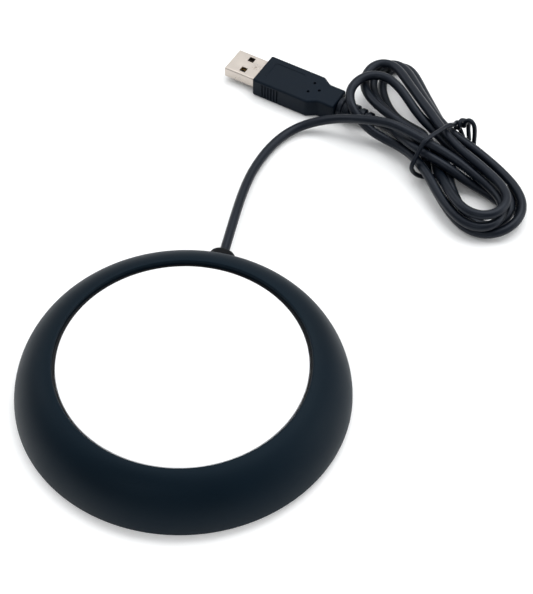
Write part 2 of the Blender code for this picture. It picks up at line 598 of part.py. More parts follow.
def wire_tie(look, course):
    """One coated wire: a loop round the waist, a short twist behind it, and two drooping tails."""
    u, v = hank_coordinates(course)
    middle_u, spare = 1.5, 3.5       # the loop leans along u, so strands this near may meet it
    near = np.abs(u - middle_u) < TIE_SLIDE + TIE_R + spare
    strands = np.stack([v[near], course[near][:, 2]], 1)
    reach = CORD_R + TIE_R + 0.35
    over = []
    for degrees in range(195, 59, -15):
        d = np.array([math.cos(math.radians(degrees)), math.sin(math.radians(degrees))])
        across, up = strands[np.argmax(strands @ d)] + reach * d
        over.append((0.6 - 0.16 * min(across, 0), across, up))
    left, right, low = over[0][1], strands[:, 0].max() + reach, TIE_R + 0.15
    under = [(3.4, left + 1.2, 4.2), (4.2, left + 2.9, 2.1), (5.4, left + 4.8, low + 0.15),
             (7.9, -8.8, low), (10.2, -6.2, low), (9.6, -2.8, low),
             (7.9, 0.6, low), (6, 5, low), (4.2, right - 1.4, low + 0.5), (2.4, right, 3.4),
             (0.6, right + 0.3, 5.6), (-0.7, right, 7.7), (-0.8, 7.7, 9.3)]
    above, below = twisted_pair(Vector((0, 7.3, 11.1)), Vector((0.479, 0.735, 0.479)).normalized())
    tail_a = [(1, 11.2, 12.1), (1.3, 12, 11.2), (1.4, 12.2, 10), (1.6, 12.1, 8.4), (2, 12, 6.6),
              (2.5, 11.9, 4.8), (3, 11.8, 3.2)]
    tail_b = [(2.6, 9.1, 13.7), (3.1, 9.4, 14.9), (4.1, 9.8, 15.6), (5.2, 10.1, 15.2),
              (5.9, 10.4, 14), (6.3, 10.6, 12), (6.7, 10.5, 9), (7.1, 10.2, 6), (7.6, 9.9, 3)]
    way = (tail_a[::-1] + [tuple(p) for p in reversed(below)] + under[::-1] + over
           + [tuple(p) for p in above] + tail_b)
    return tube("wire_tie", [hank_point(*point) for point in rounded(way, 0.8)], TIE_R, look,
                sides_resolution=1)


# ---------------------------------------------------------------- plug

def plug_frame():
    """An empty at the boot's small end; local +X points at the plug's tip."""
    frame = bpy.data.objects.new("plug_frame", None)
    frame.location = Vector(plug_hinge()) * MM
    frame.rotation_euler.z = math.radians(PLUG_YAW)
    bpy.data.collections["usb_cup_warmer"].objects.link(frame)
    return frame


def plug_overmould(look, frame):
    front = PLUG_LENGTH
    half, neck = PLUG_WIDTH / 2, NECK_WIDTH / 2
    outline = [(front, half), (front - BODY_LENGTH, half), (front - SHOULDER_END, neck),
               (front - NECK_END, neck)]
    outline += [(x, -y) for x, y in reversed(outline)]
    bm = bmesh.new()
    face = bm.faces.new([bm.verts.new((x * MM, y * MM, -PLUG_HEIGHT / 2 * MM))
                         for x, y in outline])
    grown = bmesh.ops.extrude_face_region(bm, geom=[face])
    tops = [item for item in grown["geom"] if isinstance(item, bmesh.types.BMVert)]
    bmesh.ops.translate(bm, vec=(0, 0, PLUG_HEIGHT * MM), verts=tops)
    bmesh.ops.recalc_face_normals(bm, faces=bm.faces)
    bmesh.ops.bevel(bm, geom=bm.edges[:], offset=0.5 * MM, segments=2, affect="EDGES", profile=0.5)
    body = place("plug_overmould", mesh_from(bm, "plug_overmould"), look, parent=frame)
    pocket_depth = SHELL_IN + 7.5
    cuts = [(box_mesh("pocket", (pocket_depth + 2, SHELL_W + 2 * GAP, SHELL_H + 2 * GAP)),
             (front + 1 - pocket_depth / 2, 0, 0), 0),
            (rotate_mesh(rod_mesh("channel", CORD_R + GAP, 30, 16), 90, "Y"),
             (front - 26, 0, 0), 0)]
    for groove in range(6):
        x = front - 4.5 - 1.3 * groove
        for side in (-1, 1):
            cuts.append((box_mesh("grip", (0.55, 1.0, PLUG_HEIGHT * 0.72)), (x, side * half, 0), 0))
    for back, y in ((21.8, -2.6), (21.8, 2.6), (25.3, 0)):
        cuts.append((rod_mesh("dot", 0.55, 1.2, 10), (front - back, y, PLUG_HEIGHT / 2), 0))
    return combine(body, cuts, "DIFFERENCE")


def plug_boot(look, frame):
    """Ringed strain relief behind the neck, tapering to the cord."""
    back = PLUG_LENGTH - NECK_END - GAP
    rings, front_r, end_r, groove_depth = 5, 4.1, 2.7, 0.8
    pitch = (back - 1.0) / rings
    profile = []
    for ring in range(rings):
        high = back - ring * pitch
        radius = front_r + (end_r - front_r) * ring / (rings - 1)
        profile += [(radius, high), (radius, high - pitch * 0.6),
                    (radius - groove_depth, high - pitch * 0.7),
                    (radius - groove_depth, high - pitch + 0.02)]
    profile += [(end_r - 0.4, 0.7), (CORD_R + GAP, 0.7), (CORD_R + GAP, back)]
    mesh = rotate_mesh(turned_mesh("plug_boot", profile, 20, closed=True), 90, "Y")
    return smooth(place("plug_boot", mesh, look, parent=frame))


def plug_shell(look, frame):
    length = SHELL_OUT + SHELL_IN
    centre = PLUG_LENGTH + SHELL_OUT - length / 2
    shell = place("plug_shell", box_mesh("plug_shell", (length, SHELL_W, SHELL_H)), look,
                  (centre, 0, 0), frame)
    inner = (length + 2, SHELL_W - 2 * SHELL_WALL, SHELL_H - 2 * SHELL_WALL)
    cuts = [(box_mesh("mouth", inner), (centre, 0, 0), 0)]
    for y in (-WINDOW_SIDE, WINDOW_SIDE):
        cuts.append((box_mesh("window", (WINDOW_SIZE, WINDOW_SIZE, SHELL_H + 2)),
                     (PLUG_LENGTH + WINDOW_FORWARD, y, 0), 0))
    return combine(shell, cuts, "DIFFERENCE")


def build_plug(looks):
    frame = plug_frame()
    plug_shell(looks["nickel"], frame)
    tongue_length, tongue_height = SHELL_OUT + SHELL_IN - 1.5, 1.6
    tongue_x = PLUG_LENGTH + SHELL_OUT - 0.9 - tongue_length / 2
    tongue_z = -SHELL_H / 2 + SHELL_WALL + 0.1 + tongue_height / 2
    tongue_w = SHELL_W - 2 * SHELL_WALL - 0.4
    place("plug_tongue", box_mesh("plug_tongue", (tongue_length, tongue_w, tongue_height), 0.15),
          looks["tongue_black"], (tongue_x, 0, tongue_z), frame)
    tip = tongue_x + tongue_length / 2 - 1.2
    root = PLUG_LENGTH - SHELL_IN - 3.2
    for number, (y, shorter) in enumerate(((-3.5, 0), (-1, 1), (1, 1), (3.5, 0)), 1):
        length = tip - shorter - root
        strip = box_mesh(f"plug_contact_{number}", (length, 1.0, 0.25), 0.05)
        place(f"plug_contact_{number}", strip, looks["gold"],
              (root + length / 2, y, tongue_z + tongue_height / 2 + 0.125 + 0.08), frame)
    plug_overmould(looks["hard_black"], frame)
    plug_boot(looks["black_pvc"], frame)
    inner_end = PLUG_LENGTH - SHELL_IN - 11.0
    tube("plug_cord_tail", [(1.0, 0, 0), (10, 0, 0), (inner_end, 0, 0)], CORD_R,
         looks["black_pvc"], frame, sides_resolution=4)
    for name, side in (("plug_red_wire", -1), ("plug_black_wire", 1)):
        course = [(inner_end + 0.3, side * 0.7, 0.2), (inner_end + 3.9, side * 0.9, 0.5),
                  (inner_end + 6.2, side * 2.6, 1.0), (root + 0.6, side * 3.5, 1.0),
                  (root + 2.4, side * 3.5, 1.0)]
        tube(name, course, 0.5, looks["wire_red" if side < 0 else "wire_black"], frame)


def main():
    empty_scene()
    looks = {
        "soft_black": material("soft_black", (0.012, 0.014, 0.018), 0.55),
        "hard_black": material("hard_black", (0.014, 0.018, 0.024), 0.5),
        "white_enamel": material("white_enamel", (0.86, 0.87, 0.88), 0.35),
        "black_silicone": material("black_silicone", (0.012, 0.012, 0.013), 0.75),
        "amber_film": material("amber_film", (0.55, 0.24, 0.03), 0.3),
        "foil": material("foil", (0.75, 0.45, 0.28), 0.35, 1.0),
        "mica": material("mica", (0.62, 0.6, 0.52), 0.4),
        "ceramic_felt": material("ceramic_felt", (0.83, 0.82, 0.78), 0.95),
        "zinc_steel": material("zinc_steel", (0.6, 0.6, 0.58), 0.35, 1.0),
        "black_pvc": material("black_pvc", (0.011, 0.014, 0.019), 0.45),
        "board": material("board", (0.03, 0.22, 0.09), 0.5),
        "fuse_yellow": material("fuse_yellow", (0.75, 0.45, 0.03), 0.5),
        "wire_red": material("wire_red", (0.5, 0.015, 0.012), 0.45),
        "wire_black": material("wire_black", (0.012, 0.012, 0.013), 0.45),
        "lead_clear": material("lead_clear", (0.75, 0.72, 0.66), 0.5),
        "nickel": material("nickel", (0.62, 0.58, 0.54), 0.28, 1.0),
        "tongue_black": material("tongue_black", (0.03, 0.03, 0.032), 0.5),
        "gold": material("gold", (0.83, 0.6, 0.25), 0.25, 1.0),
    }
    build_base(looks)
    course = cord_course()
    power_cord(looks["black_pvc"], course)
    wire_tie(looks["black_pvc"], course)
    build_plug(looks)


main()
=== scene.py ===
"""The looks of a USB cup warmer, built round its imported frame.

The frame is in metres, +Z up. Lengths written here are in millimetres: shapes are drawn in
millimetres and scaled when their mesh is made. Fine pieces stand for the frame's plain solids,
and take their sizes and places from them.
"""
import json
import math

import bmesh
import bpy
import numpy as np
from mathutils import Matrix, Vector


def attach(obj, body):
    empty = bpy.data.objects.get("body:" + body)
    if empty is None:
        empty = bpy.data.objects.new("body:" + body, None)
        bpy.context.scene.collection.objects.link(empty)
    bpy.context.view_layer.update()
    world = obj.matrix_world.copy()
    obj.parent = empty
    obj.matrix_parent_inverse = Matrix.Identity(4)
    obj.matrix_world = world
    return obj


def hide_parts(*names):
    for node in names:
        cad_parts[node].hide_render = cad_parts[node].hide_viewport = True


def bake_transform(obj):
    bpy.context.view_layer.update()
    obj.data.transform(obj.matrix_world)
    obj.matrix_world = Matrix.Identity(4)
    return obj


MM = 0.001
GAP = 0.3                        # clearance between pieces that touch

# Turned pieces
FINE, MEDIUM, COARSE = 224, 72, 32   # steps round a large, a middling and a small turned piece
DOME_POWER = 1.86                # superellipse exponent of the ring's section
WALL, LIP_THICK, RIB_DROP = 2.1, 2.0, 5.0   # the ring's shell, its lip and the rib below the lip
BOSS_R, PILOT_R, BASE_BOSS_LOW = 2.6, 1.2, 3.0
SKIRT_IN, SKIRT_Z = 1.05, 2.4    # where the ring's wall turns in below its widest point
SEAT_R, SEAT_START = 5.3, 56.0   # the grommet's seat in the ring's wall
HOLE_R, HOLE_START = 3.6, 50.0   # the hole behind that seat
PILOT_DEPTH = 11.0               # deepest pilot hole in a screw boss

CORD_R, TIE_R = 1.75, 0.85
CORD_BORE = CORD_R + GAP         # a hole that the cord goes through

# Plug, measured back from the overmould's front face
BODY_LENGTH, SHOULDER_END = 23.7, 27.2
NECK_HALF = 5.3
POCKET_SPARE = 7.5               # room behind the metal shell for the cord's wires
GRIP_RIBS, GRIP_START, GRIP_PITCH = 6, 4.5, 1.3
DIMPLES = ((21.8, -2.6), (21.8, 2.6), (25.3, 0))     # back from the front, and sideways
SHELL_WALL, SHELL_CORNER = 0.35, 0.85
WINDOW, WINDOW_FORWARD, WINDOW_SIDE = 2.5, 6.5, 3.1
CRIMP_FORWARD = 3.0
BOOT_RINGS = 5

# Camera: in metres and degrees
CAMERA_AT = (0.11232, -0.37867, 0.530)
CAMERA_AZIMUTH, CAMERA_TILT, CAMERA_ROLL = 12.5, 39.63, 0.36
CAMERA_LENS = 118.06

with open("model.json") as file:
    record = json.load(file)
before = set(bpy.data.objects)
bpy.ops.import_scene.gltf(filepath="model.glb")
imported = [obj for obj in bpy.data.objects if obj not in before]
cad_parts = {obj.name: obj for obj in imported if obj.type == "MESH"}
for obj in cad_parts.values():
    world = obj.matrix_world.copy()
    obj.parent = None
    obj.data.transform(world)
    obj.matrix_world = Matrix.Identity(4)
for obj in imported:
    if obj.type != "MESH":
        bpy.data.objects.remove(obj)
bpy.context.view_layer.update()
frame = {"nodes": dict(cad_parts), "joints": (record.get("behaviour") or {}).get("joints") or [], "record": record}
NODES = frame["nodes"]
JOINTS = {joint["name"]: joint for joint in frame["joints"]}
MOUNTS = {mount["name"]: mount for mount in frame["record"]["mounts"]}


# ---------------------------------------------------------------- measuring the frame

def spots(node, axes=None):
    """A frame node's corners in mm, in the frame's axes or in another matrix's."""
    found = np.array([v.co for v in NODES[node].data.vertices])
    if axes is not None:
        inverse = np.array(axes.inverted())
        found = found @ inverse[:3, :3].T + inverse[:3, 3]
    return found / MM


def extent(node, axes=None):
    """A frame node's lowest and highest corners in mm."""
    found = spots(node, axes)
    return Vector(found.min(0)), Vector(found.max(0))


def middle(node):
    low, high = extent(node)
    return (low + high) / 2


def radii_between(node, low, high):
    """Least and greatest distance from the Z axis of the node's corners between two heights."""
    found = spots(node)
    inside = found[(found[:, 2] > low) & (found[:, 2] < high)]
    radii = np.hypot(inside[:, 0], inside[:, 1])
    return float(radii.min()), float(radii.max())


def heights_between(node, inner, outer):
    """Least and greatest height of the node's corners between two distances from the Z axis."""
    found = spots(node)
    radii = np.hypot(found[:, 0], found[:, 1])
    inside = found[(radii > inner) & (radii < outer)]
    return float(inside[:, 2].min()), float(inside[:, 2].max())


def levels(links, start):
    """Vertices grouped by the number of edges between them and the start."""
    seen, groups, current = set(start), [], list(start)
    while current:
        groups.append(current)
        current = sorted({other for vert in current for other in links[vert]} - seen)
        seen.update(current)
    return groups


def cap_ring(vert, sides, width):
    """Indices of the corners of the flat end cap, within a width, that holds a vertex."""
    for first in vert.link_faces:
        flat, fresh = {first}, [first]
        while fresh:
            beside = {face for edge in fresh.pop().edges for face in edge.link_faces} - flat
            beside = [face for face in beside if face.normal.dot(first.normal) > 0.9999]
            flat.update(beside)
            fresh += beside
        ring = {corner for face in flat for corner in face.verts}
        across = max((corner.co - vert.co).length for corner in ring)
        if len(ring) == sides and across < width * MM:
            return [corner.index for corner in ring]
    raise ValueError("no cap of that many sides here")


def tube_centres(node, sides, radius, near=None):
    """Centres of a frame tube's rings, from the end nearest to a point or from a far end."""
    bm = bmesh.new()
    bm.from_mesh(NODES[node].data)
    bmesh.ops.remove_doubles(bm, verts=bm.verts, dist=1e-6)
    bm.normal_update()
    bm.verts.ensure_lookup_table()
    links = [[edge.other_vert(vert).index for edge in vert.link_edges] for vert in bm.verts]
    found = np.array([vert.co for vert in bm.verts]) / MM
    if near is None:
        end = levels(links, [0])[-1][0]
    else:
        end = int(np.argmin(np.linalg.norm(found - np.array(near), axis=1)))
    rings = levels(links, cap_ring(bm.verts[end], sides, 2.2 * radius))
    bm.free()
    return [found[ring].mean(0) for ring in rings]


def eased(path, rounds):
    """A path with its small kinks evened out and its ends kept."""
    path = np.array(path)
    for _ in range(rounds):
        path[1:-1] += 0.25 * (path[2:] + path[:-2] - 2 * path[1:-1])
    return path


# ---------------------------------------------------------------- shapes, in mm

def mesh_from(bm, name):
    mesh = bpy.data.meshes.new(name)
    bm.to_mesh(mesh)
    bm.free()
    return mesh


def skin(name, rings, joined=False):
    """A closed mesh through rings with equal numbers of points, capped unless it is joined."""
    bm = bmesh.new()
    rows = [[bm.verts.new(Vector(point) * MM) for point in ring] for ring in rings]
    pairs = list(zip(rows, rows[1:]))
    if joined:
        pairs.append((rows[-1], rows[0]))
    else:
        bm.faces.new(rows[0])
        bm.faces.new(rows[-1])
    for low, high in pairs:
        for k in range(len(low)):
            bm.faces.new((low[k - 1], low[k], high[k], high[k - 1]))
    bmesh.ops.remove_doubles(bm, verts=bm.verts, dist=1e-7)
    bmesh.ops.recalc_face_normals(bm, faces=bm.faces)
    return mesh_from(bm, name)


def turned(name, profile, steps=FINE, joined=False):
    """A solid of revolution about Z from (radius, height) points."""
    angles = np.linspace(0, 2 * math.pi, steps, endpoint=False)
    rings = [[(r * math.cos(a), r * math.sin(a), z) for a in angles] for r, z in profile]
    return skin(name, rings, joined)


def softened(corners, radii, steps=4, closed=False):
    """An outline with rounded corners; radii is one number, or one for each corner."""
    corners = [Vector(corner) for corner in corners]
    count = len(corners)
    if not isinstance(radii, (list, tuple)):
        radii = [radii] * count
    made = []
    for k, (corner, radius) in enumerate(zip(corners, radii)):
        if not radius or (not closed and k in (0, count - 1)):
            made.append(tuple(corner))
            continue
        back, ahead = corners[k - 1] - corner, corners[(k + 1) % count] - corner
        reach = min(radius / math.tan(back.angle(ahead) / 2),
                    back.length * 0.49, ahead.length * 0.49)
        start, end = corner + back.normalized() * reach, corner + ahead.normalized() * reach
        for t in np.linspace(0, 1, steps + 1):
            made.append(tuple((1 - t) ** 2 * start + 2 * t * (1 - t) * corner + t * t * end))
    return made


def rounded_rectangle(width, height, radius, steps=4):
    half_w, half_h = width / 2, height / 2
    corners = [(-half_w, -half_h), (half_w, -half_h), (half_w, half_h), (-half_w, half_h)]
    return softened(corners, radius, steps, closed=True)


def smooth_path(points, step):
    """A smooth path through points, resampled at an even step."""
    knots = np.asarray(points, float)
    ends = np.vstack([2 * knots[0] - knots[1], knots, 2 * knots[-1] - knots[-2]])
    parts = []
    t = np.linspace(0, 1, 24, endpoint=False)[:, None]
    for a, b, c, d in zip(ends, ends[1:], ends[2:], ends[3:]):
        ta, tb, tc = (math.sqrt(np.linalg.norm(q - p)) for p, q in ((a, b), (b, c), (c, d)))
        leave = (c - b) + tb * ((b - a) / ta - (c - a) / (ta + tb))
        arrive = (c - b) + tb * ((d - c) / tc - (d - b) / (tb + tc))
        parts.append((2 * t**3 - 3 * t**2 + 1) * b + (t**3 - 2 * t**2 + t) * leave
                     + (3 * t**2 - 2 * t**3) * c + (t**3 - t**2) * arrive)
    dense = np.vstack(parts + [knots[-1:]])
    run = np.r_[0, np.cumsum(np.linalg.norm(np.diff(dense, axis=0), axis=1))]
    wanted = np.linspace(0, run[-1], int(round(run[-1] / step)) + 1)
    return np.stack([np.interp(wanted, run, dense[:, k]) for k in range(3)], 1)


def tube(name, path, radius, sides, end_round=0.25):
    """A round tube along a path, untwisted, with slightly rounded ends."""
    path = np.asarray(path, float)
    along = np.gradient(path, axis=0)
    along /= np.linalg.norm(along, axis=1)[:, None]
    across = np.cross(along[0], (0.3, 0.2, 1.0))
    angles = np.linspace(0, 2 * math.pi, sides, endpoint=False)
    rings = []
    for k, (centre, ahead) in enumerate(zip(path, along)):
        across = across - ahead * (across @ ahead)
        across /= np.linalg.norm(across)
        lift = np.cross(ahead, across)
        spoke = np.outer(np.cos(angles), across) + np.outer(np.sin(angles), lift)
        if k == 0:
            rings.append(centre - ahead * end_round * 0.5 + spoke * (radius - end_round))
        rings.append(centre + spoke * radius)
        if k == len(path) - 1:
            rings.append(centre + ahead * end_round * 0.5 + spoke * (radius - end_round))
    return skin(name, rings)


def rod(radius, height, at, sides=COARSE, turn=None):
    """A cylinder centred at a point, along Z or turned to another axis."""
    bm = bmesh.new()
    bmesh.ops.create_cone(bm, cap_ends=True, segments=sides, radius1=radius * MM,
                          radius2=radius * MM, depth=height * MM)
    if turn:
        bmesh.ops.rotate(bm, verts=bm.verts, matrix=Matrix.Rotation(math.pi / 2, 3, turn))
    bmesh.ops.translate(bm, vec=Vector(at) * MM, verts=bm.verts)
    return mesh_from(bm, "rod")


def round_edges(bm, radius, segments):
    bmesh.ops.bevel(bm, geom=bm.edges[:], offset=radius * MM, segments=segments,
                    affect="EDGES", profile=0.5)


def block(size, at, bevel=0.0, yaw=0.0):
    """A box centred at a point, with rounded edges if bevel is given, turned about Z."""
    bm = bmesh.new()
    bmesh.ops.create_cube(bm, size=1)
    bmesh.ops.scale(bm, vec=Vector(size) * MM, verts=bm.verts)
    if bevel:
        round_edges(bm, bevel, 3)
    bmesh.ops.rotate(bm, verts=bm.verts, matrix=Matrix.Rotation(math.radians(yaw), 3, "Z"))
    bmesh.ops.translate(bm, vec=Vector(at) * MM, verts=bm.verts)
    return mesh_from(bm, "block")


def pad(width, depth, height, radius, at):
    """A flat block with rounded upright corners."""
    outline = rounded_rectangle(width, depth, radius)
    return skin("pad", [[(at[0] + x, at[1] + y, at[2] + z) for x, y in outline]
                        for z in (-height / 2, height / 2)])


def together(meshes):
    """Separate meshes gathered into one."""
    bm = bmesh.new()
    for mesh in meshes:
        bm.from_mesh(mesh)
    return mesh_from(bm, "together")


def carved(mesh, *operations):
    """The mesh after Boolean steps, each ("UNION" or "DIFFERENCE", meshes that don't overlap)."""
    body = bpy.data.objects.new("carving", mesh)
    bpy.context.scene.collection.objects.link(body)
    tools = []
    for operation, meshes in operations:
        tool = bpy.data.objects.new("carving_tool", together(meshes))
        bpy.context.scene.collection.objects.link(tool)
        tools.append(tool)
        step = body.modifiers.new(operation, "BOOLEAN")
        step.operation, step.solver, step.object = operation, "EXACT", tool
    bpy.context.view_layer.update()
    graph = bpy.context.evaluated_depsgraph_get()
    done = bpy.data.meshes.new_from_object(body.evaluated_get(graph))
    for helper in tools + [body]:
        bpy.data.objects.remove(helper)
    return done


def laid_along(mesh, axis):
    """A mesh turned about Z, laid so that its +Z points along +X or +Y."""
    angle, about = (math.pi / 2, "Y") if axis == "X" else (-math.pi / 2, "X")
    mesh.transform(Matrix.Rotation(angle, 4, about))
    return mesh


def piece(name, mesh, look, stands_for, body=None, place=None, sharp=32, flat=False):
    """A finished piece: it hides the frame nodes that it stands for, takes the finish it is given and rides on a
    body if one is named.

    Edges sharper than sharp degrees stay crisp; flat keeps the shading of broad faces even.
    """
    made = bpy.data.objects.new(name, mesh)
    bpy.context.scene.collection.objects.link(made)
    if place is not None:
        made.matrix_world = place
    mesh.materials.clear()
    mesh.materials.append(look)
    mesh.shade_smooth()
    mesh.set_sharp_from_angle(angle=math.radians(sharp))
    if flat:
        normals = made.modifiers.new("flat_faces_stay_flat", "WEIGHTED_NORMAL")
        normals.keep_sharp = True
    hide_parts(*stands_for)
    if body:
        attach(made, body)
    return made


# ---------------------------------------------------------------- materials

def node(tree, kind, settings=None, **inputs):
    """Add a shader node; inputs are values or sockets, named with _ for a space."""
    made = tree.nodes.new("ShaderNode" + kind)
    for key, value in (settings or {}).items():
        setattr(made, key, value)
    for key, value in inputs.items():
        socket = made.inputs[key.replace("_", " ")]
        if isinstance(value, bpy.types.NodeSocket):
            tree.links.new(value, socket)
        else:
            socket.default_value = value
    return made


def finish_look(slot, colour, roughness, metallic=0.0, specular=0.5, tint=0.1, cloud=18.0,
                spread=0.06, grain=0.3, depth=0.006, stretch=(1, 1, 1), speck=0.0, **extra):
    """A finish whose colour and roughness drift in soft clouds, with a fine raised grain.

    tint and spread are how far the colour and the roughness drift; cloud and grain are feature
    sizes and depth the grain's height, in mm; stretch scales the grain along each axis; speck
    adds sparse lighter flecks; extra sets further inputs of the shader, with _ for a space.
    """
    made = bpy.data.materials.new("look_" + slot)
    made["slot"] = slot
    made.use_nodes = True
    tree = made.node_tree
    shader = tree.nodes["Principled BSDF"]
    place = node(tree, "TexCoord").outputs["Object"]
    clouds = node(tree, "TexNoise", Vector=place, Scale=1 / (cloud * MM),
                  Detail=3.0).outputs["Fac"]
    ramp = node(tree, "ValToRGB", Fac=clouds)
    stops = zip(ramp.color_ramp.elements, (0.3, 0.7), (1 - tint, 1 + tint))
    for element, position, share in stops:
        element.position = position
        element.color = (*[min(1.0, c * share) for c in colour], 1)
    shade = ramp.outputs["Color"]
    laid = node(tree, "Mapping", Vector=place, Scale=stretch).outputs["Vector"]
    fine = node(tree, "TexNoise", Vector=laid, Scale=1 / (grain * MM), Detail=2.0).outputs["Fac"]
    if speck:
        dust = node(tree, "MapRange", Value=fine, From_Min=0.66, From_Max=0.8,
                    To_Min=0.0, To_Max=speck)
        mix = node(tree, "Mix", {"data_type": "RGBA"})
        tree.links.new(dust.outputs["Result"], mix.inputs["Factor"])
        tree.links.new(shade, mix.inputs[6])
        mix.inputs[7].default_value = (*[min(1.0, c * 2.5 + 0.02) for c in colour], 1)
        shade = mix.outputs[2]
    rough = node(tree, "MapRange", Value=clouds, From_Min=0.3, From_Max=0.7,
                 To_Min=max(0.02, roughness - spread), To_Max=min(1.0, roughness + spread))
    bump = node(tree, "Bump", Height=fine, Strength=1.0, Distance=depth * MM)
    tree.links.new(shade, shader.inputs["Base Color"])
    tree.links.new(rough.outputs["Result"], shader.inputs["Roughness"])
    tree.links.new(bump.outputs["Normal"], shader.inputs["Normal"])
    shader.inputs["Metallic"].default_value = metallic
    shader.inputs["Specular IOR Level"].default_value = specular
    for key, value in extra.items():
        shader.inputs[key.replace("_", " ")].default_value = value
    return made


def make_looks():
    looks = [
        finish_look("soft_black", (0.0005, 0.0036, 0.0074), 0.5, specular=0.115, tint=0.12,
                    cloud=30, grain=0.16, depth=0.0035, Sheen_Weight=0.011, Sheen_Roughness=0.4,
                    Sheen_Tint=(0.7, 0.85, 1.0, 1), Specular_Tint=(0.6, 0.82, 1.0, 1)),
        finish_look("hard_black", (0.0016, 0.0042, 0.0088), 0.5, specular=0.13, tint=0.14, cloud=8,
                    grain=0.12, depth=0.005, speck=0.04, Specular_Tint=(0.7, 0.85, 1.0, 1)),
        finish_look("white_enamel", (0.9, 0.91, 0.92), 0.3, tint=0.012, cloud=22, grain=1.1,
                    depth=0.003, spread=0.04, Coat_Weight=0.2, Coat_Roughness=0.2),
        finish_look("black_silicone", (0.011, 0.012, 0.014), 0.78, specular=0.3, tint=0.2, cloud=5,
                    grain=0.1, depth=0.008, speck=0.3),
        finish_look("amber_film", (0.5, 0.2, 0.02), 0.22, tint=0.15, grain=0.5, depth=0.003),
        finish_look("foil", (0.72, 0.5, 0.34), 0.34, metallic=1.0, grain=0.06, depth=0.003,
                    stretch=(1, 6, 1)),
        finish_look("mica", (0.62, 0.6, 0.5), 0.36, tint=0.2, cloud=2.5, grain=0.8, depth=0.02),
        finish_look("ceramic_felt", (0.8, 0.79, 0.75), 0.95, tint=0.06, cloud=3, grain=0.12,
                    depth=0.06),
        finish_look("zinc_steel", (0.58, 0.59, 0.6), 0.32, metallic=1.0, tint=0.08, cloud=1.5,
                    grain=0.05, depth=0.002, spread=0.1),
        finish_look("black_pvc", (0.0012, 0.0028, 0.0062), 0.4, specular=0.25, tint=0.12, cloud=12,
                    grain=0.22, depth=0.003, spread=0.05, Specular_Tint=(0.8, 0.87, 1.0, 1)),
        finish_look("board", (0.02, 0.2, 0.08), 0.4, tint=0.1, grain=0.2, depth=0.004),
        finish_look("fuse_yellow", (0.75, 0.43, 0.03), 0.4, tint=0.08, grain=0.6, depth=0.02),
        finish_look("wire_red", (0.5, 0.012, 0.01), 0.38, tint=0.08, grain=0.2, depth=0.004),
        finish_look("wire_black", (0.012, 0.012, 0.014), 0.38, tint=0.1, grain=0.2, depth=0.004),
        finish_look("lead_clear", (0.75, 0.7, 0.62), 0.45, tint=0.1, grain=0.15, depth=0.006),
        finish_look("nickel", (0.53, 0.478, 0.43), 0.3, metallic=1.0, tint=0.03, cloud=5,
                    spread=0.05, grain=0.05, depth=0.0012, stretch=(0.08, 1, 1)),
        finish_look("tongue_black", (0.085, 0.073, 0.064), 0.5, tint=0.06, cloud=3, grain=0.1,
                    depth=0.003),
        finish_look("gold", (0.83, 0.6, 0.26), 0.24, metallic=1.0, tint=0.05, cloud=1,
                    grain=0.04, depth=0.001, stretch=(0.1, 1, 1)),
    ]
    return {look["slot"]: look for look in looks}


def dress_frame(looks):
    """Give every frame node its own finish."""
    for part in frame["record"]["subparts"]:
        shown = NODES[part["node"]]
        shown.data.materials.clear()
        shown.data.materials.append(looks[part["material_slot"]])


# ---------------------------------------------------------------- base

def dome(inner_r, outer_r, low, top, steps):
    """Quarter superellipse from the top at inner_r to the widest point at outer_r."""
    quarter = np.linspace(0, math.pi / 2, steps)
    return [(inner_r + (outer_r - inner_r) * math.sin(t) ** (2 / DOME_POWER),
             low + (top - low) * max(math.cos(t), 0) ** (2 / DOME_POWER)) for t in quarter]


